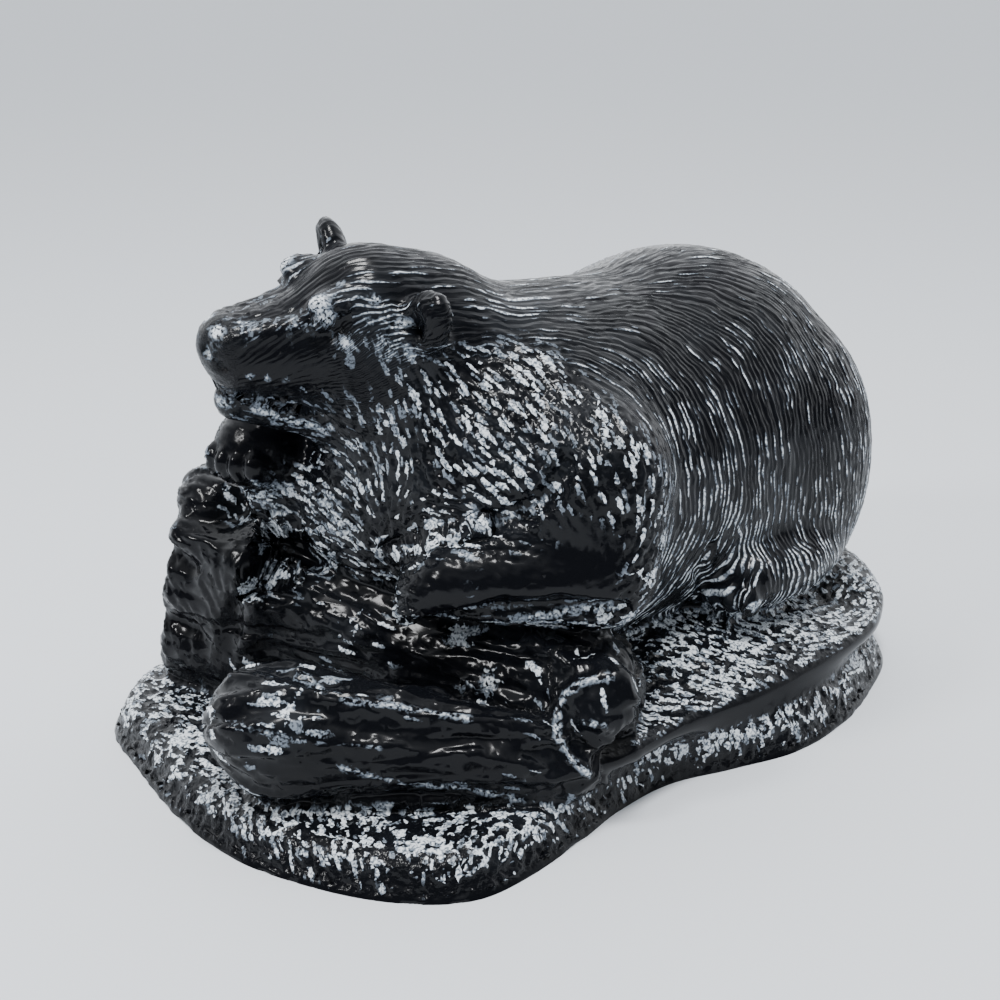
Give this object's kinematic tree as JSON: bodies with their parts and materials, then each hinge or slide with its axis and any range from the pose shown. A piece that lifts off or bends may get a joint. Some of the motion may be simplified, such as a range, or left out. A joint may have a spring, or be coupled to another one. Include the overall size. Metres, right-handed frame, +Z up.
{
  "type": "bear statue",
  "caption": "Cast tabletop statue of a bear resting behind two fallen logs on a two-tier rocky base, gloss black with a pale wash in its carving.",
  "frame": {"origin": "on the flat underside, below the middle of the statue", "axes": "+Z up, -X towards the bear's head, -Y towards its left side, which is the side seen first"},
  "size_m": [0.1631, 0.1156, 0.102],
  "materials": {
    "casting": "gloss black stone-filled resin, with a pale grey-green wash rubbed into the carving"
  },
  "bodies": {
    "root": {"bear_statue": "casting"}
  },
  "joints": []
}
